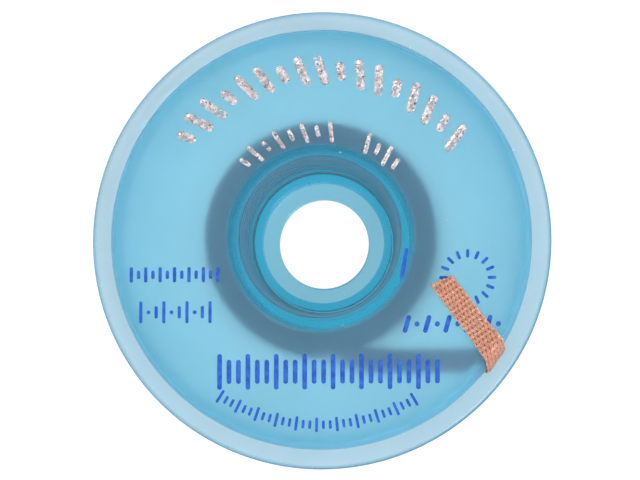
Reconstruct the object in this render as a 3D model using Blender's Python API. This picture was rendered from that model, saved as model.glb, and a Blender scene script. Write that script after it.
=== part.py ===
# Bobbin of copper desoldering braid, lying on its back with its face up.
# A dished rear half and a flat, skirted front half press together at the hub.
# The braid is wound between them, and its free end folds over the front half's rim.
# Origin: centre of the flat base. +Z: the bobbin's axis, out of its face.

import math

import bmesh
import bpy
from mathutils import Vector

MM = 0.001

# Overall sizes, in millimetres
RIM_RADIUS = 24.0            # rear half's brim
FACE_HEIGHT = 10.0           # top of the front half above the base
CLEARANCE = 0.3              # between pieces that touch

# Rear half: base, bowl, brim and hub collar
REAR_WALL = 1.0
BOWL_RADIUS = 9.0            # outside radius of the bowl that rises from the base
MOUTH_SETBACK = 1.15         # bowl's mouth inside the skirt's lower edge
BRIM_SLOPE = 20.0            # degrees, the brim's flare
BRIM_WALL = 0.95
HOLE_RADIUS = 4.7            # hole for a peg, through the base
COLLAR_INNER = 6.4
COLLAR_OUTER = 7.25
COLLAR_HEIGHT = 3.2          # top of the collar above the base

# Front half: face, skirt and hub tube
FRONT_WALL = 1.0
SKIRT_RADIUS = 22.0          # outside of the skirt's lower edge
SKIRT_DRAFT = 0.45           # how much narrower the skirt is at its top
SKIRT_WALL = 0.8
SKIRT_DEPTH = 2.6            # skirt's lower edge below the face
EDGE_RADIUS = 0.4            # rounding between face and skirt
WELL_RADIUS = 8.3            # hub tube's bore, at the face
TUBE_WALL = 1.2
TUBE_DRAFT = 0.4             # outside of the tube, narrower at its end
SHOULDER_RADIUS = 0.3        # rounding from the face into the well

# Braid: flat, woven, wound in layers
BRAID_WIDTH = 2.5
BRAID_THICKNESS = 0.4
LAYERS = 7
LAYER_PITCH = 0.35
TURNS_ABREAST = 3
GROOVE_DEPTH = 0.12          # between neighbouring turns
RUN_OFFSET = 0.5             # free run's centre line outside the winding
EXIT_BACK = 2.0              # where the free run leaves the winding, before its lowest point
TWIST_LENGTH = 9.0           # from standing on edge to lying flat
RUN_PITCH = 2.0              # between sections of the free run
CLIMB_CREEP = 1.6            # degrees along the rim while climbing the skirt
EDGE_CREEP = 1.1             # degrees along the rim while folding over the edge
TAIL_LENGTH = 8.7            # on the face
TAIL_HEADING = 127.0         # degrees from +X
TAIL_SETTLE = 2.6            # length in which the fold's slant dies out
CUT_SKEW = 12.0              # degrees off square

# Facets
BOBBIN_STEPS = 64
WINDING_STEPS = 48
ARC_STEPS = 4
BOWL_STEPS = 8

# Colours
PLASTIC_COLOUR = (0.12, 0.52, 0.72, 1.0)
COPPER_COLOUR = (0.72, 0.30, 0.18, 1.0)

# Places that several pieces share
WINDING_INNER = WELL_RADIUS + TUBE_WALL + CLEARANCE
WINDING_OUTER = WINDING_INNER + LAYERS * LAYER_PITCH
WINDING_BOTTOM = REAR_WALL + CLEARANCE
WINDING_TOP = FACE_HEIGHT - FRONT_WALL - CLEARANCE
SKIRT_BOTTOM = FACE_HEIGHT - SKIRT_DEPTH
SKIRT_TOP_RADIUS = SKIRT_RADIUS - SKIRT_DRAFT
EDGE_CENTRE = (SKIRT_TOP_RADIUS - EDGE_RADIUS, FACE_HEIGHT - EDGE_RADIUS)
BRAID_LIFT = CLEARANCE + BRAID_THICKNESS / 2
SLOT_FLOOR = SKIRT_BOTTOM - BRAID_THICKNESS - 2 * CLEARANCE
MOUTH = (SKIRT_RADIUS - MOUTH_SETBACK, SLOT_FLOOR - MOUTH_SETBACK * math.tan(math.radians(BRIM_SLOPE)))


def polar(angle, radius):
    return radius * math.cos(math.radians(angle)), radius * math.sin(math.radians(angle))


def arc(centre, radius, start, end, steps=ARC_STEPS):
    """Points of an arc in the (radius, height) plane, angles in degrees from outward."""
    points = []
    for step in range(steps + 1):
        across, up = polar(start + (end - start) * step / steps, radius)
        points.append((centre[0] + across, centre[1] + up))
    return points


def rear_outline():
    """Closed outline of the rear half, clockwise with +radius to the right."""
    # The bowl's inside is an arc that starts level with the base and ends at the mouth
    inner_radius = BOWL_RADIUS - REAR_WALL
    mouth_drop = BOWL_RADIUS - MOUTH[1]
    inner_end = -math.degrees(math.asin(mouth_drop / inner_radius))
    bowl_centre = (MOUTH[0] - polar(inner_end, inner_radius)[0], BOWL_RADIUS)
    inner_bowl = arc(bowl_centre, inner_radius, -90, inner_end, BOWL_STEPS)

    # The brim is a flat band with a round lip, which ends at the rim's radius
    lip = BRIM_WALL / 2
    run, climb = polar(BRIM_SLOPE, 1)
    lip_across = RIM_RADIUS - lip
    start_middle = (MOUTH[0] + lip * climb, MOUTH[1] - lip * run)
    length = (lip_across - start_middle[0]) / run
    lip_centre = (lip_across, start_middle[1] + length * climb)
    lip_points = arc(lip_centre, lip, BRIM_SLOPE + 90, 0, 3) + arc(lip_centre, lip, 0, BRIM_SLOPE - 90, 2)[1:]

    # The bowl's outside is an arc up to where it meets the brim's underside
    across = MOUTH[0] + BRIM_WALL * climb - bowl_centre[0]
    up = MOUTH[1] - BRIM_WALL * run - bowl_centre[1]
    along = across * run + up * climb
    reach = math.sqrt(along ** 2 + BOWL_RADIUS ** 2 - across ** 2 - up ** 2) - along
    outer_end = math.degrees(math.atan2(up + reach * climb, across + reach * run))
    outer_bowl = arc(bowl_centre, BOWL_RADIUS, outer_end, -90, BOWL_STEPS)

    outline = [(HOLE_RADIUS, REAR_WALL), (COLLAR_INNER, REAR_WALL)]
    outline += [(COLLAR_INNER, COLLAR_HEIGHT), (COLLAR_OUTER, COLLAR_HEIGHT), (COLLAR_OUTER, REAR_WALL)]
    outline += inner_bowl + lip_points + outer_bowl + [(HOLE_RADIUS, 0.0)]
    return outline


def front_outline():
    """Closed outline of the front half, clockwise with +radius to the right."""
    underside = FACE_HEIGHT - FRONT_WALL
    tube_bottom = REAR_WALL + CLEARANCE
    tube_outer = WELL_RADIUS + TUBE_WALL
    shoulder = arc((WELL_RADIUS + SHOULDER_RADIUS, FACE_HEIGHT - SHOULDER_RADIUS), SHOULDER_RADIUS, 180, 90)
    edge = arc(EDGE_CENTRE, EDGE_RADIUS, 90, 0)

    outline = [(COLLAR_OUTER + CLEARANCE, tube_bottom)]
    outline += shoulder + edge
    outline += [(SKIRT_RADIUS, SKIRT_BOTTOM), (SKIRT_RADIUS - SKIRT_WALL, SKIRT_BOTTOM)]
    outline += [(SKIRT_TOP_RADIUS - SKIRT_WALL, underside), (tube_outer, underside)]
    outline += [(tube_outer - TUBE_DRAFT, tube_bottom)]
    return outline


def winding_outline():
    """Closed outline of the winding: its layers show on its ends, its turns on its outside."""
    top = []
    for layer in range(LAYERS):
        inner = WINDING_INNER + layer * LAYER_PITCH
        top.append((inner, WINDING_TOP - GROOVE_DEPTH))
        top.append((inner + LAYER_PITCH / 2, WINDING_TOP))
    top.append((WINDING_OUTER, WINDING_TOP - GROOVE_DEPTH))

    outside = []
    turn = (WINDING_TOP - WINDING_BOTTOM) / TURNS_ABREAST
    for boundary in range(1, TURNS_ABREAST):
        height = WINDING_TOP - boundary * turn
        outside.append((WINDING_OUTER, height + GROOVE_DEPTH))
        outside.append((WINDING_OUTER - GROOVE_DEPTH, height))
        outside.append((WINDING_OUTER, height - GROOVE_DEPTH))

    bottom = [(radius, WINDING_TOP + WINDING_BOTTOM - height) for radius, height in reversed(top)]
    return top + outside + bottom


def turned(name, outline, steps, material):
    """A solid turned about Z from a closed outline."""
    mesh = bpy.data.meshes.new(name)
    shape = bmesh.new()
    ring = [shape.verts.new((radius * MM, 0, height * MM)) for radius, height in outline]
    for index, vertex in enumerate(ring):
        shape.edges.new((vertex, ring[(index + 1) % len(ring)]))
    shape.to_mesh(mesh)
    shape.free()
    solid = bpy.data.objects.new(name, mesh)
    bpy.context.scene.collection.objects.link(solid)

    screw = solid.modifiers.new("turn", "SCREW")
    screw.angle = math.tau
    screw.steps = steps
    screw.render_steps = steps
    screw.use_merge_vertices = True
    screw.merge_threshold = 0.00001
    screw.use_smooth_shade = True
    mesh.materials.append(material)
    return solid


def run_sections():
    """Free run inside the bobbin, from the winding to the slot under the skirt.

    Each section is a pair of edge points: the edge nearer the axis, then the outer one.
    """
    start = Vector((-EXIT_BACK, -(WINDING_OUTER - BRAID_THICKNESS)))
    lane = -(WINDING_OUTER + RUN_OFFSET)
    middle = (WINDING_BOTTOM + WINDING_TOP) / 2
    slot = SKIRT_BOTTOM - BRAID_LIFT
    rim_x = math.sqrt(SKIRT_RADIUS ** 2 - (lane - BRAID_WIDTH / 2) ** 2)
    count = round((rim_x - RUN_PITCH - start.x) / RUN_PITCH)

    sections = []
    for index in range(count):
        x = start.x + index * RUN_PITCH
        done = min(1.0, (x - start.x) / TWIST_LENGTH)
        eased = done * done * (3 - 2 * done)
        centre = Vector((x, start.y + (lane - start.y) * eased, middle + (slot - middle) * eased))
        across, up = polar(90 * (1 - eased), BRAID_WIDTH / 2)
        half = Vector((0, across, up))
        sections.append((centre + half, centre - half))
    return sections


def rim_angles():
    """Where the braid's two edges cross the skirt, in degrees about the axis."""
    angles = []
    for side in (1, -1):
        y = -(WINDING_OUTER + RUN_OFFSET) + side * BRAID_WIDTH / 2
        angles.append(-math.degrees(math.acos(math.sqrt(SKIRT_RADIUS ** 2 - y * y) / SKIRT_RADIUS)))
    return angles


def fold_sections():
    """The braid round the skirt's lower edge, up its outside and over the face's edge."""
    lower = arc((SKIRT_RADIUS, SKIRT_BOTTOM), BRAID_LIFT, -90, 0, 3)
    upper = arc(EDGE_CENTRE, EDGE_RADIUS + BRAID_LIFT, 0, 90, 5)
    sections = []
    for index, (radius, height) in enumerate(lower):
        creep = CLIMB_CREEP * index / (2 * len(lower))
        sections.append((radius, height, creep))
    for index, (radius, height) in enumerate(upper):
        creep = CLIMB_CREEP + EDGE_CREEP * index / (len(upper) - 1)
        sections.append((radius, height, creep))

    pairs = []
    for radius, height, creep in sections:
        pair = [Vector((*polar(angle + creep, radius), height)) for angle in rim_angles()]
        pairs.append(tuple(pair))
    return pairs


def face_sections(fold):
    """The free end on the face, from the fold to its cut."""
    heading = Vector((*polar(TAIL_HEADING, 1), 0))
    square = Vector((*polar(TAIL_HEADING - 90, BRAID_WIDTH / 2), 0))
    cut = Vector((*polar(TAIL_HEADING - 90 - CUT_SKEW, BRAID_WIDTH / 2), 0))
    centre = (fold[0] + fold[1]) / 2
    slant = (fold[0] - fold[1]) / 2

    sections = []
    for share in (0.5, 1.0):
        half = slant.lerp(square, share)
        middle = centre + heading * TAIL_SETTLE * share
        sections.append((middle + half, middle - half))
    for share in (0.5, 1.0):
        half = square.lerp(cut, max(0.0, 2 * share - 1))
        middle = centre + heading * (TAIL_SETTLE + (TAIL_LENGTH - TAIL_SETTLE) * share)
        sections.append((middle + half, middle - half))
    return sections


def free_end(material):
    """The braid's free end: a flat strip swept through its sections."""
    fold = fold_sections()
    sections = run_sections() + fold + face_sections(fold[-1])
    middles = [(inner + outer) / 2 for inner, outer in sections]

    shape = bmesh.new()
    rings = []
    for index, (inner, outer) in enumerate(sections):
        before = middles[max(index - 1, 0)]
        after = middles[min(index + 1, len(middles) - 1)]
        out = (after - before).cross(inner - outer).normalized() * BRAID_THICKNESS / 2
        corners = (inner + out, inner - out, outer - out, outer + out)
        rings.append([shape.verts.new(corner * MM) for corner in corners])
    for near, far in zip(rings, rings[1:]):
        for side in range(4):
            following = (side + 1) % 4
            shape.faces.new((near[side], near[following], far[following], far[side]))
    shape.faces.new(rings[0])
    shape.faces.new(rings[-1])
    bmesh.ops.recalc_face_normals(shape, faces=shape.faces)

    mesh = bpy.data.meshes.new("free_end")
    shape.to_mesh(mesh)
    shape.free()
    mesh.materials.append(material)
    strip = bpy.data.objects.new("free_end", mesh)
    bpy.context.scene.collection.objects.link(strip)
    strip.hide_render = True
    strip.display_type = "WIRE"
    return strip


def copper_braid(material):
    """Winding and free end are one length of braid, so they are one solid."""
    braid = turned("copper_braid", winding_outline(), WINDING_STEPS, material)
    join = braid.modifiers.new("join_free_end", "BOOLEAN")
    join.operation = "UNION"
    join.solver = "MANIFOLD"
    join.object = free_end(material)
    return braid


def finish(name, colour, roughness, metallic, transmission=0.0):
    material = bpy.data.materials.new(name)
    material.use_nodes = True
    shader = material.node_tree.nodes["Principled BSDF"]
    shader.inputs["Base Color"].default_value = colour
    shader.inputs["Roughness"].default_value = roughness
    shader.inputs["Metallic"].default_value = metallic
    shader.inputs["Transmission Weight"].default_value = transmission
    return material


def main():
    for item in list(bpy.data.objects):
        bpy.data.objects.remove(item, do_unlink=True)
    rear_plastic = finish("rear_plastic", PLASTIC_COLOUR, 0.35, 0.0, 0.8)
    front_plastic = finish("front_plastic", PLASTIC_COLOUR, 0.35, 0.0, 0.8)
    copper = finish("copper", COPPER_COLOUR, 0.4, 1.0)
    turned("rear_half", rear_outline(), BOBBIN_STEPS, rear_plastic)
    turned("front_half", front_outline(), BOBBIN_STEPS, front_plastic)
    copper_braid(copper)


main()
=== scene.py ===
import math
import random

import bpy
from mathutils import Matrix, Vector


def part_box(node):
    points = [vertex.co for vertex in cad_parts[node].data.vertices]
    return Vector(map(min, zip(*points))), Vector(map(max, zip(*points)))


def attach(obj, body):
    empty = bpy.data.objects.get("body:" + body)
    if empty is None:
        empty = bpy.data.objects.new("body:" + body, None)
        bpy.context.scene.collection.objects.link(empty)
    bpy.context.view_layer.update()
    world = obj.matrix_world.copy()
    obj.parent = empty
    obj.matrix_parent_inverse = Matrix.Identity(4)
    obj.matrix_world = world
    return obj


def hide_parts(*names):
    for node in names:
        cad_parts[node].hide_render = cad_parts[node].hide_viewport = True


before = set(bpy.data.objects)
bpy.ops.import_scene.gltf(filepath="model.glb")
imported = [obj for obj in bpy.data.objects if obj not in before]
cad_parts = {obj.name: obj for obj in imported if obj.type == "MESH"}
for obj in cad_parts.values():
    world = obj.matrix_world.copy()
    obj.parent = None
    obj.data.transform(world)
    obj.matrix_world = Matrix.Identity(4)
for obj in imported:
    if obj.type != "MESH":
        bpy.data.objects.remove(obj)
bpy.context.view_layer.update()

mm = 0.001
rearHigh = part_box("rear_half")[1]
frontLow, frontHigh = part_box("front_half")


# General helpers

def clearSelection():
    if bpy.context.object and bpy.context.object.mode != "OBJECT":
        bpy.ops.object.mode_set(mode="OBJECT")
    bpy.ops.object.select_all(action="DESELECT")


def selectOnly(piece):
    clearSelection()
    piece.select_set(True)
    bpy.context.view_layer.objects.active = piece


def onAxis(angle, radius):
    # across and up, or x and y, at an angle in degrees
    return radius * math.cos(math.radians(angle)), radius * math.sin(math.radians(angle))


def roundStretch(centre, radius, start, end, steps):
    # points of an arc in the radius and height plane
    points = []
    for step in range(steps + 1):
        across, up = onAxis(start + (end - start) * step / steps, radius)
        points.append((centre[0] + across, centre[1] + up))
    return points


def eased(share):
    share = max(0.0, min(1.0, share))
    return share * share * (3 - 2 * share)


def settlePiece(piece, name, material, nodes=()):
    # places are applied to the mesh, then the piece rides on the one body
    selectOnly(piece)
    bpy.ops.object.transform_apply(location=True, rotation=True, scale=True)
    piece.name = name
    piece.data.name = name
    piece.data.materials.clear()
    piece.data.materials.append(material)
    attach(piece, "root")
    if nodes:
        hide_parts(*nodes)


def meshPiece(name, points, faces):
    mesh = bpy.data.meshes.new(name)
    mesh.from_pydata([tuple(point) for point in points], [], faces)
    mesh.update()
    piece = bpy.data.objects.new(name, mesh)
    bpy.context.scene.collection.objects.link(piece)
    return piece


# Camera, lights and floor

cameraValues = {
    "lens": 225.0,
    "sensor": 36.0,
    "pixelWidth": 640,
    "pixelSize": 0.1044 * mm,          # at the rim, from the braid's width
    "lean": (0.050, -0.088),           # the photo looks in from the lower right
    "aim": (-0.14 * mm, -0.08 * mm, 7.0 * mm),
}


def placeCamera(values):
    distance = values["pixelSize"] * values["pixelWidth"] * values["lens"] / values["sensor"]
    back = Vector((values["lean"][0], values["lean"][1], 1.0)).normalized()
    camera = bpy.data.objects.new("photoCamera", bpy.data.cameras.new("photoCamera"))
    camera.data.lens = values["lens"]
    camera.data.sensor_width = values["sensor"]
    camera.location = Vector(values["aim"]) + back * distance
    camera.rotation_mode = "QUATERNION"
    right = Vector((0, 1, 0)).cross(back).normalized()
    upward = back.cross(right)
    camera.rotation_quaternion = Matrix((right, upward, back)).transposed().to_quaternion()
    camera.data.clip_start = 0.01
    camera.data.clip_end = 10.0
    bpy.context.scene.collection.objects.link(camera)
    bpy.context.scene.camera = camera


lightValues = {
    "skyStrength": 0.95,
    "overhead": 0.35,                  # the studio is dimmer straight above the bobbin
    "overheadFrom": 0.97,              # height on a ball of radius 1 where it is dimmest
    "overheadTo": 0.84,                # and where the dimness ends
    "boxes": [
        # name, place, size, watts
        ("leftBox", (-0.40, 0.20, 0.50), 0.30, 0.4),
        ("lowerBox", (0.32, -0.30, 0.60), 0.25, 2.4),
    ],
    "floorSize": 1.6,
    "floorColour": (0.05, 0.05, 0.05, 1.0),
    "floorRoughness": 0.9,
    "floorGlow": 1.1,
}


def placeLights(values):
    world = bpy.data.worlds.new("studioSky")
    world.use_nodes = True
    tree = world.node_tree
    height = splitPlace(tree, tree.nodes.new("ShaderNodeTexCoord").outputs["Generated"])[2]
    dimming = rangeNode(tree, height, values["overheadTo"], values["overheadFrom"],
                        values["skyStrength"], values["overhead"])
    feed(tree, tree.nodes["Background"], {"Color": (1.0, 1.0, 1.0, 1.0), "Strength": dimming})
    bpy.context.scene.world = world
    bpy.context.scene.view_settings.view_transform = "Standard"
    for name, place, size, watts in values["boxes"]:
        lamp = bpy.data.lights.new(name, "AREA")
        lamp.size = size
        lamp.energy = watts
        box = bpy.data.objects.new(name, lamp)
        box.location = place
        box.rotation_mode = "QUATERNION"
        box.rotation_quaternion = (-Vector(place)).to_track_quat("-Z", "Y")
        bpy.context.scene.collection.objects.link(box)


def layFloor(values):
    clearSelection()
    bpy.ops.mesh.primitive_plane_add(size=values["floorSize"], location=(0, 0, 0))
    floor = bpy.context.object
    floor.name = "paleFloor"
    material, tree, shader = newFinish("paleFloor")
    feed(tree, shader, {"Base Color": values["floorColour"], "Roughness": values["floorRoughness"],
                        "Specular IOR Level": 0.0, "Emission Color": (1.0, 1.0, 1.0, 1.0),
                        "Emission Strength": values["floorGlow"]})
    floor.data.materials.append(material)


# Materials

def newFinish(name):
    material = bpy.data.materials.new(name)
    material.use_nodes = True
    tree = material.node_tree
    return material, tree, tree.nodes["Principled BSDF"]


def newGroup(name, inputs, outputs):
    group = bpy.data.node_groups.new(name, "ShaderNodeTree")
    for label, kind, value in inputs:
        socket = group.interface.new_socket(label, in_out="INPUT", socket_type="NodeSocket" + kind)
        socket.default_value = value
    for label, kind in outputs:
        group.interface.new_socket(label, in_out="OUTPUT", socket_type="NodeSocket" + kind)
    return group, group.nodes.new("NodeGroupInput").outputs, group.nodes.new("NodeGroupOutput")


def feed(tree, node, values):
    # a number or a colour is set on its socket, an output is linked to it
    for label, value in values.items():
        if isinstance(value, (int, float, tuple)):
            node.inputs[label].default_value = value
        else:
            tree.links.new(value, node.inputs[label])


def placeGroup(tree, group, values):
    node = tree.nodes.new("ShaderNodeGroup")
    node.node_tree = group
    feed(tree, node, values)
    return node.outputs


def mathNode(tree, operation, *values):
    node = tree.nodes.new("ShaderNodeMath")
    node.operation = operation
    feed(tree, node, dict(enumerate(values)))
    return node.outputs[0]


def noiseNode(tree, vector, noise):
    # noise holds its scale, detail and roughness
    node = tree.nodes.new("ShaderNodeTexNoise")
    feed(tree, node, {"Vector": vector, "Scale": noise[0], "Detail": noise[1], "Roughness": noise[2]})
    return node.outputs["Fac"]


def rangeNode(tree, value, *limits):
    # limits are from low, from high and then, unless they are 0 and 1, to low and to high
    node = tree.nodes.new("ShaderNodeMapRange")
    feed(tree, node, {"Value": value})
    feed(tree, node, dict(zip(("From Min", "From Max", "To Min", "To Max"), limits)))
    return node.outputs["Result"]


def mixColours(tree, share, first, second, blend="MIX"):
    node = tree.nodes.new("ShaderNodeMix")
    node.data_type = "RGBA"
    node.blend_type = blend
    feed(tree, node, {0: share, 6: first, 7: second})
    return node.outputs[2]


def shaded(tree, colour, grey):
    # a colour darkened by a grey from 0 to 1
    mask = tree.nodes.new("ShaderNodeCombineColor")
    feed(tree, mask, {0: grey, 1: grey, 2: grey})
    return mixColours(tree, 1.0, colour, mask.outputs[0], "MULTIPLY")


def bumpNode(tree, height, bump):
    # bump holds its strength and its distance
    node = tree.nodes.new("ShaderNodeBump")
    feed(tree, node, {"Height": height, "Strength": bump[0], "Distance": bump[1]})
    return node.outputs[0]


def objectPlace(tree):
    return tree.nodes.new("ShaderNodeTexCoord").outputs["Object"]


def splitPlace(tree, place):
    split = tree.nodes.new("ShaderNodeSeparateXYZ")
    feed(tree, split, {0: place})
    return split.outputs


def axisDistance(tree, x, y):
    squares = [mathNode(tree, "MULTIPLY", side, side) for side in (x, y)]
    return mathNode(tree, "SQRT", mathNode(tree, "ADD", *squares))


mouldedValues = {
    "clouds": (130.0, 3.0, 0.55),      # noise: scale, detail, roughness
    "cloudRange": (0.35, 0.65),
    "roughPatches": (0.3, 0.7, -0.02, 0.02),
    "scratchLines": [
        # radians that a scratch drifts for each metre out, and noise steps in a radian
        (14.0, 34.0),
        (-9.0, 27.0),
    ],
    "scratchPace": 220.0,              # noise steps in a metre outwards: more make shorter scratches
    "scratchNoise": (1.0, 1.0, 0.4),
    "scratchRange": (0.735, 0.75),
    "grain": (5200.0, 2.0, 0.5),
    "bump": (0.12, 0.02 * mm),         # strength, distance
}


def makeMouldedGroup(values):
    # clouding, fine scratches and a moulding's grain
    group, start, end = newGroup(
        "mouldedSurface",
        [("Tint", "Color", (0.6, 0.8, 0.9, 1.0)), ("Cloud", "Float", 0.05),
         ("Roughness", "Float", 0.3), ("Scratches", "Float", 0.3)],
        [("Color", "Color"), ("Roughness", "Float"), ("Normal", "Vector")])
    place = objectPlace(group)
    x, y = splitPlace(group, place)[:2]
    radius = axisDistance(group, x, y)
    clouds = noiseNode(group, place, values["clouds"])
    lowCloud = mathNode(group, "SUBTRACT", 1.0, start["Cloud"])
    shade = rangeNode(group, clouds, *values["cloudRange"], lowCloud, 1.0)

    # scratches run nearly straight out from the axis, a few of them long
    angle = mathNode(group, "ARCTAN2", y, x)
    along = mathNode(group, "MULTIPLY", radius, values["scratchPace"])
    lines = []
    for lean, often in values["scratchLines"]:
        turned = mathNode(group, "ADD", angle, mathNode(group, "MULTIPLY", radius, lean))
        strip = group.nodes.new("ShaderNodeCombineXYZ")
        feed(group, strip, {0: mathNode(group, "MULTIPLY", turned, often), 1: along})
        soft = noiseNode(group, strip.outputs[0], values["scratchNoise"])
        lines.append(rangeNode(group, soft, *values["scratchRange"]))
    marks = mathNode(group, "MULTIPLY", mathNode(group, "MAXIMUM", *lines), start["Scratches"])
    patchy = rangeNode(group, clouds, *values["roughPatches"])
    rough = mathNode(group, "ADD", start["Roughness"], patchy)
    grain = noiseNode(group, place, values["grain"])
    feed(group, end, {"Color": shaded(group, start["Tint"], shade),
                      "Roughness": mathNode(group, "ADD", rough, marks),
                      "Normal": bumpNode(group, grain, values["bump"])})
    return group


def zoneRamp(tree, radius, zones, pick):
    # a colour or grey for each zone of radius, with crisp borders
    ramp = tree.nodes.new("ShaderNodeValToRGB")
    stops = ramp.color_ramp.elements
    reach = rearHigh.x
    for stop, position, zone in ((stops[0], 0.0, zones[0]), (stops[1], 1.0, zones[-1])):
        stop.position = position
        stop.color = pick(zone)
    for inner, outer in zip(zones, zones[1:]):
        for shift, zone in ((-inner["soft"], inner), (inner["soft"], outer)):
            stop = stops.new((inner["to"] + shift) / reach)
            stop.color = pick(zone)
    feed(tree, ramp, {0: mathNode(tree, "DIVIDE", radius, reach)})
    return ramp.outputs[0]


plasticValues = {
    "transmission": 0.97,
    "ior": 1.46,
    "hazeTint": (0.1, 0.6, 1.0, 1.0),
    "cloud": 0.05,
    "scratches": 0.15,
    "front": {
        "haze": 0.33,
        "absorb": (0.16, 0.88, 0.94, 1.0),
        "density": 520.0,
        "zones": [
            # from the axis outwards: the well's wall, its rounded brink, the end of the hub tube, the face;
            # the wall's dark tint is painted shade of the well, the brink and the tube's end are painted a
            # deeper blue for light run down the tube wall, and the face has the plastic's own tint
            {"to": 8.4 * mm, "soft": 0.12 * mm, "tintAndShade": (0.50, 0.36, 0.36, 1.0), "roughness": 0.35},
            {"to": 8.7 * mm, "soft": 0.05 * mm, "tintAndShade": (0.46, 0.78, 0.81, 1.0), "roughness": 0.42},
            {"to": 9.7 * mm, "soft": 0.25 * mm, "tintAndShade": (0.47, 0.80, 0.83, 1.0), "roughness": 0.16},
            {"to": 24.0 * mm, "soft": 0.1 * mm, "tintAndShade": (0.98, 0.99, 1.0, 1.0), "roughness": 0.52},
        ],
    },
    "rear": {
        "haze": 0.4,
        "absorb": (0.10, 0.76, 0.86, 1.0),
        "density": 560.0,
        "zones": [
            # from the axis outwards: floor of the well, collar, bowl, brim, lip; the floor of the well and
            # the collar are darkened as painted shade down the well, the brim carries painted shade, greyer
            # and darker, the lip is a painted dark line along the rim's edge, and the bowl has the plastic's
            # own tint
            {"to": 6.4 * mm, "soft": 0.05 * mm, "tintAndShade": (0.12, 0.32, 0.44, 1.0), "roughness": 0.25},
            {"to": 7.35 * mm, "soft": 0.05 * mm, "tintAndShade": (0.03, 0.28, 0.44, 1.0), "roughness": 0.2},
            {"to": 21.4 * mm, "soft": 0.3 * mm, "tintAndShade": (0.98, 0.99, 1.0, 1.0), "roughness": 0.3},
            {"to": 23.65 * mm, "soft": 0.1 * mm, "tintAndShade": (0.92, 0.83, 0.84, 1.0), "roughness": 0.22},
            {"to": 24.0 * mm, "soft": 0.1 * mm, "tintAndShade": (0.45, 0.55, 0.60, 1.0), "roughness": 0.25},
        ],
    },
}


def plasticFinish(name, group, side, values):
    material, tree, shader = newFinish(name)
    radius = axisDistance(tree, *splitPlace(tree, objectPlace(tree))[:2])
    # the zones' tints carry painted shade in the well, on the brim and at the lip, and a painted deeper blue
    # at the tube's end
    surface = placeGroup(tree, group, {
        "Tint": zoneRamp(tree, radius, side["zones"], lambda zone: zone["tintAndShade"]),
        "Cloud": values["cloud"],
        "Roughness": zoneRamp(tree, radius, side["zones"], lambda zone: (zone["roughness"],) * 3 + (1.0,)),
        "Scratches": values["scratches"]})
    feed(tree, shader, {"Base Color": surface["Color"], "Roughness": surface["Roughness"],
                        "Normal": surface["Normal"], "Sheen Weight": side["haze"], "Sheen Roughness": 1.0,
                        "Sheen Tint": values["hazeTint"], "Transmission Weight": values["transmission"],
                        "IOR": values["ior"]})
    soak = tree.nodes.new("ShaderNodeVolumeAbsorption")
    feed(tree, soak, {"Color": side["absorb"], "Density": side["density"]})
    feed(tree, tree.nodes["Material Output"], {"Volume": soak.outputs[0]})
    return material


copperValues = {
    "bright": (0.95, 0.57, 0.43, 1.0),
    "dull": (0.76, 0.37, 0.25, 1.0),
    "roughness": 0.38,
    "woundBright": (0.42, 0.18, 0.27, 1.0),    # flux, and painted shade of the winding inside the bobbin and between its turns
    "woundDull": (0.15, 0.07, 0.11, 1.0),
    "blotches": (1400.0, 2.0, 0.6),
    "specks": (7000.0, 2.0, 0.6),
    "speckShare": 0.7,
    "toneRange": (0.36, 0.62),
    "roughRange": (0.3, 0.7, 0.1, -0.08),
    "weavePitch": 0.62,                        # in millimetres along the strip
    "weaveRange": (-0.9, 0.2, 0.25, 1.0),
    "weaveBump": (1.0, 0.06 * mm),
}


def makeCopperGroup(values):
    # each length of wire is a little brighter, duller or pinker than the next
    group, start, end = newGroup(
        "copperTone",
        [("Bright", "Color", (0.9, 0.45, 0.3, 1.0)), ("Dull", "Color", (0.6, 0.25, 0.15, 1.0)),
         ("Roughness", "Float", 0.35)],
        [("Color", "Color"), ("Roughness", "Float")])
    place = objectPlace(group)
    blotches = noiseNode(group, place, values["blotches"])
    specks = noiseNode(group, place, values["specks"])
    mixed = mathNode(group, "ADD", mathNode(group, "MULTIPLY", blotches, 1 - values["speckShare"]),
                     mathNode(group, "MULTIPLY", specks, values["speckShare"]))
    share = rangeNode(group, mixed, *values["toneRange"])
    spread = rangeNode(group, specks, *values["roughRange"])
    feed(group, end, {"Color": mixColours(group, share, start["Dull"], start["Bright"]),
                      "Roughness": mathNode(group, "ADD", start["Roughness"], spread)})
    return group


def copperFinish(name, group, bright, dull, values):
    material, tree, shader = newFinish(name)
    tone = placeGroup(tree, group, {"Bright": bright, "Dull": dull, "Roughness": values["roughness"]})
    feed(tree, shader, {"Base Color": tone["Color"], "Roughness": tone["Roughness"], "Metallic": 1.0})
    return material, tree, shader, tone["Color"]


def wireFinish(group, values):
    return copperFinish("bareCopperWire", group, values["bright"], values["dull"], values)[0]


def wovenFinish(group, values):
    # the wound braid: the same copper, with painted shade in the weave's gaps and the weave as relief along
    # the strip
    material, tree, shader, tone = copperFinish(
        "woundCopperBraid", group, values["woundBright"], values["woundDull"], values)
    strip = tree.nodes.new("ShaderNodeUVMap")
    strip.uv_map = "alongBraid"
    along, across = splitPlace(tree, strip.outputs[0])[:2]
    waves = []
    for operation in ("ADD", "SUBTRACT"):
        slope = mathNode(tree, operation, along, across)
        turned = mathNode(tree, "MULTIPLY", slope, math.tau / values["weavePitch"])
        waves.append(mathNode(tree, "SINE", turned))
    # the weave's gaps darken the colour as painted shade, and raise the relief
    gaps = rangeNode(tree, mathNode(tree, "MULTIPLY", *waves), *values["weaveRange"])
    feed(tree, shader, {"Base Color": shaded(tree, tone, gaps),
                        "Normal": bumpNode(tree, gaps, values["weaveBump"])})
    return material


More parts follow.
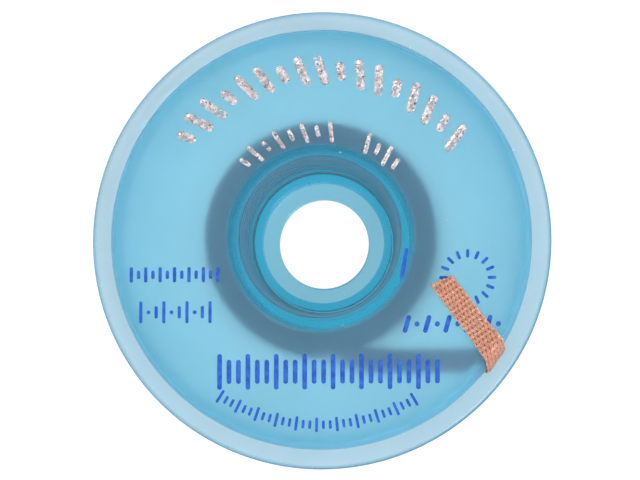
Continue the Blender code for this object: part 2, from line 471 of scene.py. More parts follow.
foilValues = {
    "colour": (0.88, 0.82, 0.84, 1.0),
    "shade": (0.50, 0.45, 0.48, 1.0),
    "creaseDarkReflection": (0.10, 0.09, 0.10, 1.0),
    "metallic": 0.8,
    "crinkle": (3800.0, 3.0, 0.65),
    "creaseReflectionRange": (0.57, 0.62),
    "roughRange": (0.3, 0.7, 0.18, 0.43),
    "patches": (1500.0, 3.0, 0.6),
    "patchRange": (0.42, 0.58),
    "rubbed": (620.0, 4.0, 0.65),
    "wornRange": (0.63, 0.65, 1.0, 0.0),       # noise above this has lost its foil
    "bump": (0.9, 0.08 * mm),
}


def foilFinish(values):
    # hot-stamped foil: crinkled, duller in patches, with a painted dark reflection in its creases, and rubbed
    # off in spots
    material, tree, shader = newFinish("silverFoil")
    place = objectPlace(tree)
    crinkle = noiseNode(tree, place, values["crinkle"])
    patches = noiseNode(tree, place, values["patches"])
    rubbed = noiseNode(tree, place, values["rubbed"])
    share = rangeNode(tree, patches, *values["patchRange"])
    silver = mixColours(tree, share, values["shade"], values["colour"])
    # crease noise paints a dark reflection into the foil's creases
    creaseReflectionMask = rangeNode(tree, crinkle, *values["creaseReflectionRange"])
    feed(tree, shader, {"Base Color": mixColours(tree, creaseReflectionMask, silver, values["creaseDarkReflection"]),
                        "Roughness": rangeNode(tree, crinkle, *values["roughRange"]),
                        "Alpha": rangeNode(tree, rubbed, *values["wornRange"]),
                        "Normal": bumpNode(tree, crinkle, values["bump"]),
                        "Metallic": values["metallic"]})
    return material


inkValues = {
    "thin": (0.015, 0.14, 0.58, 1.0),
    "thick": (0.006, 0.06, 0.42, 1.0),
    "pools": (1500.0, 3.0, 0.6),
    "poolRange": (0.35, 0.65),
    "roughRange": (0.3, 0.7, 0.5, 0.35),
}


def pooledFinish(name, values):
    # ink or flux, darker and smoother where it pooled
    material, tree, shader = newFinish(name)
    pools = noiseNode(tree, objectPlace(tree), values["pools"])
    share = rangeNode(tree, pools, *values["poolRange"])
    feed(tree, shader, {"Base Color": mixColours(tree, share, values["thin"], values["thick"]),
                        "Roughness": rangeNode(tree, pools, *values["roughRange"])})
    return material


# The bobbin's two mouldings

rearValues = {
    "wall": 1.0 * mm,
    "bowlRadius": 9.0 * mm,
    "mouthSetback": 1.15 * mm,         # bowl's mouth inside the skirt's lower edge
    "slotHeight": 1.0 * mm,
    "brimSlope": 20.0,
    "brimWall": 0.95 * mm,
    "holeRadius": 4.7 * mm,
    "collarInner": 6.4 * mm,
    "collarOuter": 7.25 * mm,
    "collarHeight": 3.2 * mm,
    "softEdge": 0.15 * mm,
    "bowlSteps": 24,
    "lipSteps": (7, 6),                # above and below the lip's outermost point
}

frontValues = {
    "wall": 1.0 * mm,
    "skirtDraft": 0.45 * mm,
    "skirtWall": 0.8 * mm,
    "skirtDepth": 2.6 * mm,
    "edgeRadius": 0.4 * mm,
    "wellRadius": 8.3 * mm,
    "tubeWall": 1.45 * mm,
    "tubeDraft": 0.4 * mm,
    "shoulderRadius": 0.3 * mm,
    "seatGap": 0.04 * mm,              # the real halves are a press fit
    "seatDeeper": 0.25 * mm,
    "grooves": 7,                      # turning marks round the well's wall
    "grooveDepth": 0.1 * mm,
    "grooveWidth": 0.36 * mm,
    "grooveCrowding": 1.25,            # over 1, the marks crowd towards the face
    "softEdge": 0.12 * mm,
    "roundSteps": 6,
}

turningValues = {
    "segments": 192,
    "mergeDistance": 0.002 * mm,
    "smoothAngle": 35.0,
    "sharpest": 25.0,                  # a corner that turns by more than this is rounded
    "roundSteps": 3,
    "roundShare": 0.45,                # of the shorter line beside a corner, at most
}

faceHeight = frontHigh.z
skirtRadius = frontHigh.x
skirtBottom = faceHeight - frontValues["skirtDepth"]


def softCorner(before, corner, after, radius):
    # a small round in place of a sharp corner of an outline
    corner = Vector(corner)
    back = Vector(before) - corner
    ahead = Vector(after) - corner
    reach = min(radius, min(back.length, ahead.length) * turningValues["roundShare"])
    first = corner + back.normalized() * reach
    last = corner + ahead.normalized() * reach
    points = []
    for step in range(turningValues["roundSteps"] + 1):
        share = step / turningValues["roundSteps"]
        points.append(tuple(first.lerp(corner, share).lerp(corner.lerp(last, share), share)))
    return points


def softened(outline, radius):
    result = []
    for index, corner in enumerate(outline):
        before = outline[index - 1]
        after = outline[(index + 1) % len(outline)]
        inward = Vector(corner) - Vector(before)
        outward = Vector(after) - Vector(corner)
        if math.degrees(inward.angle(outward)) > turningValues["sharpest"]:
            result += softCorner(before, corner, after, radius)
        else:
            result.append(corner)
    return result


def turnedShell(outline, values):
    # a ring of the hole's size is extruded and scaled from point to point of the outline
    clearSelection()
    bpy.ops.mesh.primitive_circle_add(vertices=values["segments"], radius=outline[0][0],
                                      location=(0, 0, outline[0][1]))
    shell = bpy.context.object
    bpy.ops.object.transform_apply(location=True)
    bpy.ops.object.mode_set(mode="EDIT")
    bpy.ops.mesh.select_all(action="SELECT")
    for (radius, height), (nextRadius, nextHeight) in zip(outline, outline[1:] + outline[:1]):
        bpy.ops.mesh.extrude_region_move(TRANSFORM_OT_translate={"value": (0, 0, nextHeight - height)})
        grow = nextRadius / radius
        bpy.ops.transform.resize(value=(grow, grow, 1), center_override=(0, 0, 0))
    bpy.ops.mesh.select_all(action="SELECT")
    bpy.ops.mesh.remove_doubles(threshold=values["mergeDistance"])
    bpy.ops.mesh.normals_make_consistent(inside=False)
    bpy.ops.object.mode_set(mode="OBJECT")
    bpy.ops.object.shade_smooth_by_angle(angle=math.radians(values["smoothAngle"]))
    return shell


def rearOutline(values):
    # the bowl's inside starts level with the base and ends at the mouth
    slope = math.radians(values["brimSlope"])
    setback = values["mouthSetback"]
    mouth = (skirtRadius - setback, skirtBottom - values["slotHeight"] - setback * math.tan(slope))
    innerRadius = values["bowlRadius"] - values["wall"]
    innerEnd = -math.degrees(math.asin((values["bowlRadius"] - mouth[1]) / innerRadius))
    centre = (mouth[0] - onAxis(innerEnd, innerRadius)[0], values["bowlRadius"])
    innerBowl = roundStretch(centre, innerRadius, -90, innerEnd, values["bowlSteps"])

    # a flat band with a round lip, which ends at the rim's radius
    lip = values["brimWall"] / 2
    run, climb = onAxis(values["brimSlope"], 1)
    lipAcross = rearHigh.x - lip
    middle = (mouth[0] + lip * climb, mouth[1] - lip * run)
    length = (lipAcross - middle[0]) / run
    lipCentre = (lipAcross, middle[1] + length * climb)
    above, below = values["lipSteps"]
    lipPoints = roundStretch(lipCentre, lip, values["brimSlope"] + 90, 0, above)
    lipPoints += roundStretch(lipCentre, lip, 0, values["brimSlope"] - 90, below)[1:]

    # the bowl's outside runs up to where it meets the brim's underside
    across = mouth[0] + values["brimWall"] * climb - centre[0]
    up = mouth[1] - values["brimWall"] * run - centre[1]
    along = across * run + up * climb
    reach = math.sqrt(along ** 2 + values["bowlRadius"] ** 2 - across ** 2 - up ** 2) - along
    outerEnd = math.degrees(math.atan2(up + reach * climb, across + reach * run))
    outerBowl = roundStretch(centre, values["bowlRadius"], outerEnd, -90, values["bowlSteps"])

    collarInner, collarOuter = values["collarInner"], values["collarOuter"]
    outline = [(values["holeRadius"], values["wall"]), (collarInner, values["wall"])]
    outline += [(collarInner, values["collarHeight"]), (collarOuter, values["collarHeight"])]
    outline += [(collarOuter, values["wall"])]
    outline += innerBowl + lipPoints + outerBowl
    outline += [(values["holeRadius"], 0.0)]
    return softened(outline, values["softEdge"])


def frontOutline(values):
    underside = faceHeight - values["wall"]
    tubeBottom = frontLow.z
    tubeOuter = values["wellRadius"] + values["tubeWall"]
    shoulder = values["shoulderRadius"]
    edge = values["edgeRadius"]
    edgeCentre = (skirtRadius - values["skirtDraft"] - edge, faceHeight - edge)
    shoulderCentre = (values["wellRadius"] + shoulder, faceHeight - shoulder)
    skirtInner = skirtRadius - values["skirtWall"]

    start = Vector((rearValues["collarOuter"] + values["seatGap"], tubeBottom - values["seatDeeper"]))
    end = Vector((values["wellRadius"], shoulderCentre[1]))
    outline = [tuple(start)]
    half = values["grooveWidth"] / 2 / (end - start).length
    for index in range(values["grooves"]):
        share = 1 - (1 - (index + 1) / (values["grooves"] + 1)) ** values["grooveCrowding"]
        for shift, depth in ((-half, 0.0), (0.0, values["grooveDepth"]), (half, 0.0)):
            point = start.lerp(end, share + shift)
            outline.append((point[0] + depth, point[1]))
    outline += roundStretch(shoulderCentre, shoulder, 180, 90, values["roundSteps"])
    outline += roundStretch(edgeCentre, edge, 90, 0, values["roundSteps"])
    outline += [(skirtRadius, skirtBottom), (skirtInner, skirtBottom)]
    outline += [(skirtInner - values["skirtDraft"], underside), (tubeOuter, underside)]
    outline += [(tubeOuter - values["tubeDraft"], tubeBottom - values["seatDeeper"])]
    return softened(outline, values["softEdge"])


def makeBobbin(rearPlastic, frontPlastic):
    rear = turnedShell(rearOutline(rearValues), turningValues)
    settlePiece(rear, "rearShell", rearPlastic, ["rear_half"])
    front = turnedShell(frontOutline(frontValues), turningValues)
    settlePiece(front, "frontShell", frontPlastic, ["front_half"])
    print("bobbin halves turned")


# The braid: wound part, hidden run and free end

braidValues = {
    "width": 2.5 * mm,
    "layers": 7,
    "layerPitch": 0.35 * mm,
    "layerFill": 0.92,               # share of its layer that the strip fills
    "turnsAbreast": 3,
    "turnFill": 0.97,                # share of its lane that the strip fills
    "turnWobble": 0.04 * mm,
    "wobbleSeed": 3,
    "crossover": 0.14,               # share of a turn in which the winding steps sideways
    "turnSteps": 72,
    "outerSag": 1.5 * mm,            # the outer layers stand lower than the inner ones
    "clearance": 0.3 * mm,
    "runOffset": 0.5 * mm,           # the run's lane to the slot passes this far outside the winding
    "runInside": 0.4 * mm,           # the run starts this far inside the winding's outer turn
    "runShort": 1.2 * mm,            # and ends this far inside the rim of the skirt
    "runPoints": 12,
    "runSections": 70,
    "runHalfThickness": 0.16 * mm,
    "exitBack": 2.0 * mm,
    "twistLength": 9.0 * mm,         # from on edge in the winding to flat in the slot
    "nearGap": 0.05 * mm,            # between the real braid and the plastic it bears on
    "climbCreep": 1.6,               # degrees that the end drifts on its way up the skirt
    "edgeCreep": 1.1,                # and on its way over the edge
    "foldSteps": (4, 6),             # round the skirt's lower edge and over the face's edge
    "tailLength": 8.7 * mm,
    "tailHeading": 127.0,
    "tailSettle": 2.6 * mm,          # from the fold, the end turns square to its heading over this
    "cutSkew": 12.0,
    "smoothAngle": 50.0,
}

wireValues = {
    "carriers": 12,                  # each way round
    "wiresEach": 3,
    "wireRadius": 0.0475 * mm,
    "layerHeight": 2.3,              # middle of a layer of wires, in wire radii from the braid's middle
    "helixAngle": 21.0,
    "relief": 0.95,                  # how far a strand weaves up and down, in wire radii
    "cutBack": 0.25 * mm,            # the wires' ends are uneven by up to this
    "wander": 0.2,                   # how far a strand strays sideways, in wire widths
    "wanderLength": 2.3 * mm,
    "spacing": 2.04,                 # between the wires of a strand, in wire radii
    "overlap": 1.6 * mm,             # the woven part starts this far down the hidden run
    "step": 0.1 * mm,
    "seed": 7,
}

# flux colours, kept dark so that the film also stands in as painted shade behind the weave's gaps
fluxAndShadeValues = {
    "thin": (0.45, 0.15, 0.09, 1.0),
    "thick": (0.20, 0.06, 0.035, 1.0),
    "pools": (3000.0, 2.0, 0.5),
    "poolRange": (0.35, 0.65),
    "roughRange": (0.35, 0.65, 0.6, 0.4),
    "thickness": 0.024 * mm,
    "widthShare": 0.9,
    "overlap": 0.5 * mm,
    "shortOfCut": 0.25 * mm,
    "sections": 90,
}

windingInner = frontValues["wellRadius"] + frontValues["tubeWall"] + braidValues["nearGap"]
windingOuter = windingInner + braidValues["layers"] * braidValues["layerPitch"]
windingBottom = rearValues["wall"] + braidValues["clearance"]
windingTop = faceHeight - frontValues["wall"] - braidValues["clearance"]
braidThickness = 2 * (wireValues["layerHeight"] + wireValues["relief"] + 1) * wireValues["wireRadius"]


def smoothRun(points, share):
    # a point on a smooth curve through the given ones, share from 0 to 1
    place = share * (len(points) - 1)
    index = min(int(place), len(points) - 2)
    t = place - index
    p0 = points[max(index - 1, 0)]
    p1 = points[index]
    p2 = points[index + 1]
    p3 = points[min(index + 2, len(points) - 1)]
    return 0.5 * ((2 * p1) + (p2 - p0) * t + (2 * p0 - 5 * p1 + 4 * p2 - p3) * t * t
                  + (3 * p1 - p0 - 3 * p2 + p3) * t * t * t)


def rimAngles(values):
    angles = []
    for side in (1, -1):
        y = -(windingOuter + values["runOffset"]) + side * values["width"] / 2
        angles.append(-math.degrees(math.acos(math.sqrt(skirtRadius ** 2 - y * y) / skirtRadius)))
    return angles


def hiddenRun(values):
    # from the winding to the slot: pairs of points, the edge nearer the axis first
    start = Vector((-values["exitBack"], -(windingOuter - values["runInside"])))
    lane = -(windingOuter + values["runOffset"])
    middle = (windingBottom + windingTop) / 2
    slot = skirtBottom - values["nearGap"] - braidThickness / 2
    rimX = math.sqrt(skirtRadius ** 2 - (lane - values["width"] / 2) ** 2)
    count = values["runPoints"]
    pairs = []
    for index in range(count):
        x = start.x + (rimX - values["runShort"] - start.x) * index / (count - 1)
        done = eased((x - start.x) / values["twistLength"])
        centre = Vector((x, start.y + (lane - start.y) * done, middle + (slot - middle) * done))
        across, up = onAxis(90 * (1 - done), values["width"] / 2)
        pairs.append((centre + Vector((0, across, up)), centre - Vector((0, across, up))))
    return pairs


def foldOver(values):
    # round the skirt's lower edge, up its outside and over the face's edge
    lift = values["nearGap"] + braidThickness / 2
    edge = frontValues["edgeRadius"]
    edgeCentre = (skirtRadius - frontValues["skirtDraft"] - edge, faceHeight - edge)
    lower = roundStretch((skirtRadius, skirtBottom), lift, -90, 0, values["foldSteps"][0])
    upper = roundStretch(edgeCentre, edge + lift, 0, 90, values["foldSteps"][1])
    places = []
    for index, (radius, height) in enumerate(lower):
        places.append((radius, height, values["climbCreep"] * index / (2 * len(lower))))
    for index, (radius, height) in enumerate(upper):
        places.append((radius, height, values["climbCreep"] + values["edgeCreep"] * index / (len(upper) - 1)))
    pairs = []
    for radius, height, creep in places:
        pair = [Vector((*onAxis(angle + creep, radius), height)) for angle in rimAngles(values)]
        pairs.append(tuple(pair))
    return pairs


def onFace(values, fold):
    # the free end on the face, from the fold to its cut
    heading = Vector((*onAxis(values["tailHeading"], 1), 0))
    square = Vector((*onAxis(values["tailHeading"] - 90, values["width"] / 2), 0))
    cut = Vector((*onAxis(values["tailHeading"] - 90 - values["cutSkew"], values["width"] / 2), 0))
    centre = (fold[0] + fold[1]) / 2
    slant = (fold[0] - fold[1]) / 2
    pairs = []
    for share in (0.25, 0.5, 0.75, 1.0):
        half = slant.lerp(square, eased(share))
        middle = centre + heading * values["tailSettle"] * share
        pairs.append((middle + half, middle - half))
    rest = values["tailLength"] - values["tailSettle"]
    for share in (0.2, 0.4, 0.6, 0.8, 1.0):
        half = square.lerp(cut, share)
        middle = centre + heading * (values["tailSettle"] + rest * share)
        pairs.append((middle + half, middle - half))
    return pairs


class StripPath:
    # the braid's middle surface: each edge of the strip keeps its own length along it

    def __init__(self, pairs, samples=600):
        inner = [pair[0] for pair in pairs]
        outer = [pair[1] for pair in pairs]
        self.rows = []
        nearLength = farLength = 0.0
        last = None
        for index in range(samples + 1):
            share = index / samples
            near = smoothRun(inner, share)
            far = smoothRun(outer, share)
            if last is not None:
                nearLength += (near - last[0]).length
                farLength += (far - last[1]).length
            last = (near, far)
            self.rows.append((nearLength, farLength, (near + far) / 2, (near - far) / 2))

    def travelled(self, row, across):
        near, far = self.rows[row][:2]
        return (near * (1 + across) + far * (1 - across)) / 2

    def length(self, across=0.0):
        return self.travelled(-1, across)

    def at(self, distance, across=0.0):
        # middle, half-width vector and outward normal where a thread at `across` has come this far
        low, high = 0, len(self.rows) - 1
        while high - low > 1:
            centre = (low + high) // 2
            if self.travelled(centre, across) <= distance:
                low = centre
            else:
                high = centre
        start, end = self.travelled(low, across), self.travelled(high, across)
        share = max(0.0, min(1.0, (distance - start) / max(end - start, 1e-9)))
        middle = self.rows[low][2].lerp(self.rows[high][2], share)
        half = self.rows[low][3].lerp(self.rows[high][3], share)
        ahead = (self.rows[high][2] - self.rows[low][2]).normalized()
        return middle, half, ahead.cross(half).normalized()


def stripMesh(name, sections, scale):
    # a flat strip with slightly round edges, its uv measured in millimetres
    ring = [(-1.0, 0.0), (-0.93, 0.7), (-0.5, 1.0), (0.0, 1.0), (0.5, 1.0), (0.93, 0.7),
            (1.0, 0.0), (0.93, -0.7), (0.5, -1.0), (0.0, -1.0), (-0.5, -1.0), (-0.93, -0.7)]
    halfWidth = braidValues["width"] / 2 / mm
    points = []
    for middle, half, normal, distance in sections:
        for across, up in ring:
            points.append(middle + half * across + normal * up * scale)
    count = len(ring)
    faces = []
    uvs = []
    for row in range(len(sections) - 1):
        for side in range(count):
            following = (side + 1) % count
            faces.append((row * count + side, (row + 1) * count + side,
                          (row + 1) * count + following, row * count + following))
            for line, column in ((row, side), (row + 1, side), (row + 1, following), (row, following)):
                uvs.append((sections[line][3] / mm, ring[column][0] * halfWidth))
    faces.append(tuple(range(count)))
    uvs += [(0.0, 0.0)] * count
    last = (len(sections) - 1) * count
    faces.append(tuple(last + side for side in reversed(range(count))))
    uvs += [(0.0, 0.0)] * count
    piece = meshPiece(name, points, faces)
    layer = piece.data.uv_layers.new(name="alongBraid")
    for loop, uv in zip(layer.data, uvs):
        loop.uv = uv
    selectOnly(piece)
    bpy.ops.object.mode_set(mode="EDIT")
    bpy.ops.mesh.select_all(action="SELECT")
    bpy.ops.mesh.normals_make_consistent(inside=False)
    bpy.ops.object.mode_set(mode="OBJECT")
    bpy.ops.object.shade_smooth_by_angle(angle=math.radians(braidValues["smoothAngle"]))
    return piece


def windingSections(values):
    # one strip, wound turn beside turn and layer on layer, up and down the hub
    total = values["layers"] * values["turnsAbreast"]
    steps = values["turnSteps"]
    draw = random.Random(values["wobbleSeed"])
    wobble = [draw.uniform(-1, 1) * values["turnWobble"] for _ in range(total + 1)]
    sections = []
    distance = 0.0
    for index in range(total * steps + 1):
        turned = index / steps
        whole = min(int(turned), total - 1)
        layer, lane = divmod(whole, values["turnsAbreast"])
        step = eased((turned - whole - 1 + values["crossover"]) / values["crossover"])
        lift = lane
        rise = 0.0
        if lane < values["turnsAbreast"] - 1:
            lift = lane + step
        else:
            rise = step
        if layer % 2:
            lift = values["turnsAbreast"] - 1 - lift
        radius = windingInner + (layer + 0.5 + rise) * values["layerPitch"]
        sag = values["outerSag"] * ((layer + rise) / values["layers"]) ** 2
        turn = (windingTop - windingBottom - sag) / values["turnsAbreast"]
        height = windingBottom + (lift + 0.5) * turn
        height += wobble[whole] * (1 - step) + wobble[whole + 1] * step
        angle = -90 - 360 * (total - turned)
        across, up = onAxis(angle, 1)
        middle = Vector((across * radius, up * radius, height))
        distance += math.tau * radius / steps
        half = Vector((0, 0, turn * values["turnFill"] / 2))
        sections.append((middle, half, Vector((across, up, 0)), distance))
    return sections


def sectionsAlong(path, start, end, count, widthShare=1.0, wound=0.0):
    # wound is the length of braid that lies before the path's start
    sections = []
    for index in range(count + 1):
        distance = start + (end - start) * index / count
        middle, half, normal = path.at(distance)
        sections.append((middle, half * widthShare, normal, wound + distance))
    return sections


def makeWinding(material, path):
    values = braidValues
    sections = windingSections(values)
    winding = stripMesh("woundBraid", sections, values["layerPitch"] * values["layerFill"] / 2)
    settlePiece(winding, "woundBraid", material, ["copper_braid"])
    wound = sections[-1][3]
    sections = sectionsAlong(path, 0.0, path.hiddenLength, values["runSections"], wound=wound)
    run = stripMesh("hiddenBraidRun", sections, values["runHalfThickness"])
    settlePiece(run, "hiddenBraidRun", material, ["copper_braid"])
    print("braid wound:", round(wound, 3), "m on the hub")


def wireOffset(distance, family, carrier, shift, values, width):
    # where a wire of the flat tubular braid is at a distance: across the strip and out of its middle
    carriers = values["carriers"]
    radius = values["wireRadius"]
    mid = values["layerHeight"] * radius
    flat = width / 2 - mid - radius
    bend = math.pi * mid
    perimeter = 4 * flat + 2 * bend
    turned = distance * math.tan(math.radians(values["helixAngle"])) / perimeter
    sign = 1 if family == 0 else -1

    # strands go over and under at every crossing, and the two ways round take turns
    crossing = 2 * carriers * turned
    below = math.floor(crossing)
    levels = [sign if (below + step) % 2 else -sign for step in (0, 1)]
    level = levels[0] + (levels[1] - levels[0]) * eased(crossing - below)
    lift = mid + level * radius * values["relief"]

    angle = math.tau * carrier / carriers + shift + sign * math.tau * turned
    run = angle % math.tau / math.tau * perimeter
    if run < 2 * flat:
        return flat - run, lift
    if run < 2 * flat + bend:
        turn = (run - 2 * flat) / mid
        return -flat - math.sin(turn) * lift, math.cos(turn) * lift
    if run < 4 * flat + bend:
        return run - 3 * flat - bend, -lift
    turn = (run - 4 * flat - bend) / mid
    return flat + math.sin(turn) * lift, -math.cos(turn) * lift


def makeFreeEnd(material, path):
    values = wireValues
    width = braidValues["width"]
    draw = random.Random(values["seed"])
    curve = bpy.data.curves.new("freeEnd", "CURVE")
    curve.dimensions = "3D"
    curve.bevel_depth = values["wireRadius"]
    curve.bevel_resolution = 0
    curve.use_fill_caps = True
    start = path.hiddenLength - values["overlap"]
    lean = math.cos(math.radians(values["helixAngle"]))
    spacing = values["spacing"] * values["wireRadius"] / lean * math.pi / width
    for family in (0, 1):
        for carrier in range(values["carriers"]):
            phase = draw.uniform(0.0, math.tau)
            for wire in range(values["wiresEach"]):
                lane = (wire - (values["wiresEach"] - 1) / 2) * spacing
                cutBack = draw.uniform(0.0, values["cutBack"])
                places = []
                distance = start
                while True:
                    stray = values["wander"] * math.sin(math.tau * distance / values["wanderLength"] + phase)
                    across, up = wireOffset(distance, family, carrier, lane + stray * spacing, values, width)
                    share = 2 * across / width
                    if distance > path.length(share) - cutBack:
                        break
                    middle, half, normal = path.at(distance, share)
                    places.append(middle + half * share + normal * up)
                    distance += values["step"]
                spline = curve.splines.new("POLY")
                spline.points.add(len(places) - 1)
                for point, place in zip(spline.points, places):
                    point.co = (*place, 1.0)
    tail = bpy.data.objects.new("freeEnd", curve)
    bpy.context.scene.collection.objects.link(tail)
    selectOnly(tail)
    bpy.ops.object.convert(target="MESH")
    tail = bpy.context.object
    bpy.ops.object.shade_smooth()
    settlePiece(tail, "freeEnd", material, ["copper_braid"])
    print("free end woven:", len(tail.data.polygons), "faces")


def makeFluxAndShadeFilm(material, path):
    # dried flux between the two faces of the flattened braid, kept dark as a sheet of painted shade that
    # shows through the gaps
    values = fluxAndShadeValues
    start = path.hiddenLength - values["overlap"]
    end = path.length() - values["shortOfCut"]
    sections = sectionsAlong(path, start, end, values["sections"], values["widthShare"])
    film = stripMesh("fluxAndShadeFilm", sections, values["thickness"] / 2)
    settlePiece(film, "fluxAndShadeFilm", material)
    print("flux film laid")


def makeBraid(wireMaterial, wovenMaterial, fluxAndShadeMaterial):
    hidden = hiddenRun(braidValues)
    fold = foldOver(braidValues)
    face = onFace(braidValues, fold[-1])
    hiddenPath = StripPath(hidden + fold[:1], samples=200)
    path = StripPath(hidden + fold + face)
    path.hiddenLength = hiddenPath.length()
    makeWinding(wovenMaterial, path)
    makeFreeEnd(wireMaterial, path)
    makeFluxAndShadeFilm(fluxAndShadeMaterial, path)


# Print on the face, all of it plain bars, dots and ticks

printValues = {
    "foilLift": 0.06 * mm,
    "foilHollow": 0.035 * mm,        # the stroke's middle below its raised edge
    "foilEdge": 0.16,                # share of a stroke's width on each side
    "foilSlope": 0.6,                # the slope inside the edge, as a share of the edge
    "foilFull": 0.9 * mm,            # a stroke of this width has the whole hollow
    "foilRounding": 0.012 * mm,
    "fleck": (0.22 * mm, 0.14 * mm),
    "inkLift": 0.012 * mm,
    "sink": 0.01 * mm,
    "roundSides": 20,
    "smoothAngle": 50.0,
}


def barMark(length, width, lift, hollow=0.0):
    # a bar with round ends, extruded up from the surface; foil has a raised edge round a hollow
    clearSelection()
    bpy.ops.mesh.primitive_circle_add(vertices=printValues["roundSides"], radius=width / 2,
                                      fill_type="NGON", location=(0, 0, 0))
    bar = bpy.context.object
    stretch = max(0.0, length - width) / 2
    for vertex in bar.data.vertices:
        if abs(vertex.co.x) > 0.01 * width:
            vertex.co.x += math.copysign(stretch, vertex.co.x)
    bpy.ops.object.mode_set(mode="EDIT")
    bpy.ops.mesh.select_all(action="SELECT")
    bpy.ops.mesh.extrude_region_move(TRANSFORM_OT_translate={"value": (0, 0, lift + printValues["sink"])})
    if hollow:
        edge = width * printValues["foilEdge"]
        bpy.ops.mesh.inset(thickness=edge)
        bpy.ops.mesh.inset(thickness=edge * printValues["foilSlope"], depth=-hollow)
    bpy.ops.mesh.select_all(action="SELECT")
    bpy.ops.mesh.normals_make_consistent(inside=False)
    bpy.ops.object.mode_set(mode="OBJECT")
    return bar


def layCopies(master, places):
    # one copy with its own mesh at each centre and turn
    copies = []
    for centre, turn in places:
        copy = bpy.data.objects.new(master.name, master.data.copy())
        copy.rotation_euler = (0, 0, math.radians(turn))
        copy.location = (centre[0], centre[1], faceHeight - printValues["sink"])
        bpy.context.scene.collection.objects.link(copy)
        copies.append(copy)
    bpy.data.objects.remove(master)
    return copies


def joinMarks(marks, name, material, bevel):
    clearSelection()
    for mark in marks:
        mark.select_set(True)
    bpy.context.view_layer.objects.active = marks[0]
    bpy.ops.object.transform_apply(location=True, rotation=True, scale=True)
    bpy.ops.object.join()
    joined = bpy.context.object
    if bevel:
        rounding = joined.modifiers.new("rounding", "BEVEL")
        rounding.width = bevel
        rounding.segments = 2
        rounding.limit_method = "ANGLE"
        bpy.ops.object.modifier_apply(modifier="rounding")
    bpy.ops.object.shade_smooth_by_angle(angle=math.radians(printValues["smoothAngle"]))
    settlePiece(joined, name, material)


def rowPlaces(row):
    # places on a line, or on an arc about the bobbin's axis, for each size that the row repeats
    places = {size: [] for size in row["sizes"]}
    for index in range(row["count"]):
        if "radius" in row:
            share = index / (row["count"] - 1)
            angle = row["from"] + (row["to"] - row["from"]) * share
            place = (onAxis(angle, row["radius"]), angle + row["turn"])
        else:
            place = ((row["start"][0] + row["pitch"] * index, row["start"][1]), row["turn"])
        places[row["sizes"][index % len(row["sizes"])]].append(place)
    return places


def layRows(rows, lift, hollow):
    marks = []
    for row in rows.values():
        for (length, width), places in rowPlaces(row).items():
            bar = barMark(length, width, lift, hollow * width / printValues["foilFull"])
            marks += layCopies(bar, places)
    return marks


foilRows = {
    "outerArc": {"radius": 17.4 * mm, "from": 143.0, "to": 36.0, "count": 17, "turn": 18.0,
                 "sizes": [(2.0 * mm, 0.9 * mm), (3.3 * mm, 0.9 * mm), (3.3 * mm, 0.9 * mm)]},
    "innerArc": {"radius": 11.0 * mm, "from": 135.0, "to": 84.0, "count": 8, "turn": 12.0,
                 "sizes": [(1.3 * mm, 0.46 * mm), (2.3 * mm, 0.46 * mm)]},
    "innerArcEnd": {"radius": 10.9 * mm, "from": 63.0, "to": 44.0, "count": 4, "turn": 12.0,
                    "sizes": [(2.3 * mm, 0.46 * mm), (1.3 * mm, 0.46 * mm)]},
}

foilFlecks = [
    # stray specks of foil
    ((2.1 * mm, 8.8 * mm), 20.0),
    ((13.2 * mm, 1.7 * mm), 70.0),
    ((2.4 * mm, -9.3 * mm), 110.0),
]

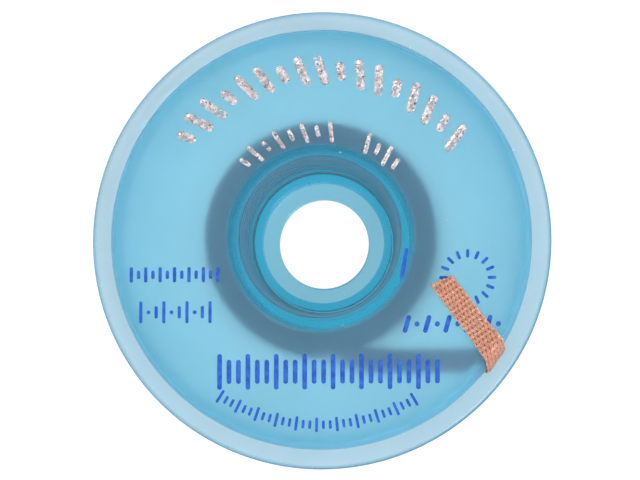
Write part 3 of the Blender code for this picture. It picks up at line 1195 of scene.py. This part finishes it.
inkRows = {
    "leftUpper": {"start": (-19.6 * mm, -3.9 * mm), "pitch": 0.75 * mm, "count": 13, "turn": 90.0,
                  "sizes": [(1.6 * mm, 0.36 * mm), (0.9 * mm, 0.36 * mm)]},
    "leftLower": {"start": (-18.6 * mm, -7.8 * mm), "pitch": 0.8 * mm, "count": 10, "turn": 90.0,
                  "sizes": [(2.3 * mm, 0.34 * mm), (0.4 * mm, 0.4 * mm), (1.3 * mm, 0.34 * mm)]},
    "bottom": {"start": (-10.4 * mm, -14.0 * mm), "pitch": 0.98 * mm, "count": 24, "turn": 90.0,
               "sizes": [(3.7 * mm, 0.5 * mm), (2.5 * mm, 0.5 * mm), (2.5 * mm, 0.5 * mm)]},
    "rightLower": {"start": (9.0 * mm, -9.1 * mm), "pitch": 1.05 * mm, "count": 10, "turn": 74.0,
                   "sizes": [(1.9 * mm, 0.5 * mm), (0.55 * mm, 0.5 * mm)]},
    "lowerEdge": {"radius": 19.5 * mm, "from": -122.0, "to": -60.0, "count": 31, "turn": 0.0,
                  "sizes": [(1.5 * mm, 0.3 * mm), (0.9 * mm, 0.3 * mm), (0.9 * mm, 0.3 * mm)]},
}

inkDial = {
    "centre": (15.3 * mm, -4.3 * mm),
    "radius": 2.5 * mm,
    "count": 16,
    "size": (0.9 * mm, 0.34 * mm),
}

inkStreak = {
    # a slip of ink on the shoulder of the hub
    "centre": (8.72 * mm, -2.85 * mm),
    "turn": 80.0,
    "size": (3.3 * mm, 0.42 * mm),
}


def makeFoil(material):
    lift = printValues["foilLift"]
    marks = layRows(foilRows, lift, printValues["foilHollow"])
    marks += layCopies(barMark(*printValues["fleck"], lift / 2), foilFlecks)
    joinMarks(marks, "foilMarks", material, printValues["foilRounding"])
    print("foil marks laid:", len(marks))


def makeInk(material):
    lift = printValues["inkLift"]
    marks = layRows(inkRows, lift, 0.0)
    places = []
    for index in range(inkDial["count"]):
        angle = 360 * index / inkDial["count"]
        across, up = onAxis(angle, inkDial["radius"])
        places.append(((inkDial["centre"][0] + across, inkDial["centre"][1] + up), angle))
    marks += layCopies(barMark(*inkDial["size"], lift), places)
    marks += layCopies(barMark(*inkStreak["size"], lift), [(inkStreak["centre"], inkStreak["turn"])])
    joinMarks(marks, "inkMarks", material, 0)
    print("ink marks laid:", len(marks))


# Everything, in order

placeCamera(cameraValues)
placeLights(lightValues)
layFloor(lightValues)
print("camera, lights and floor placed")
mouldedGroup = makeMouldedGroup(mouldedValues)
copperGroup = makeCopperGroup(copperValues)
rearPlastic = plasticFinish("rearBluePlastic", mouldedGroup, plasticValues["rear"], plasticValues)
frontPlastic = plasticFinish("frontBluePlastic", mouldedGroup, plasticValues["front"], plasticValues)
makeBobbin(rearPlastic, frontPlastic)
makeBraid(wireFinish(copperGroup, copperValues), wovenFinish(copperGroup, copperValues),
          pooledFinish("driedFluxAndShade", fluxAndShadeValues))
makeFoil(foilFinish(foilValues))
makeInk(pooledFinish("blueInk", inkValues))
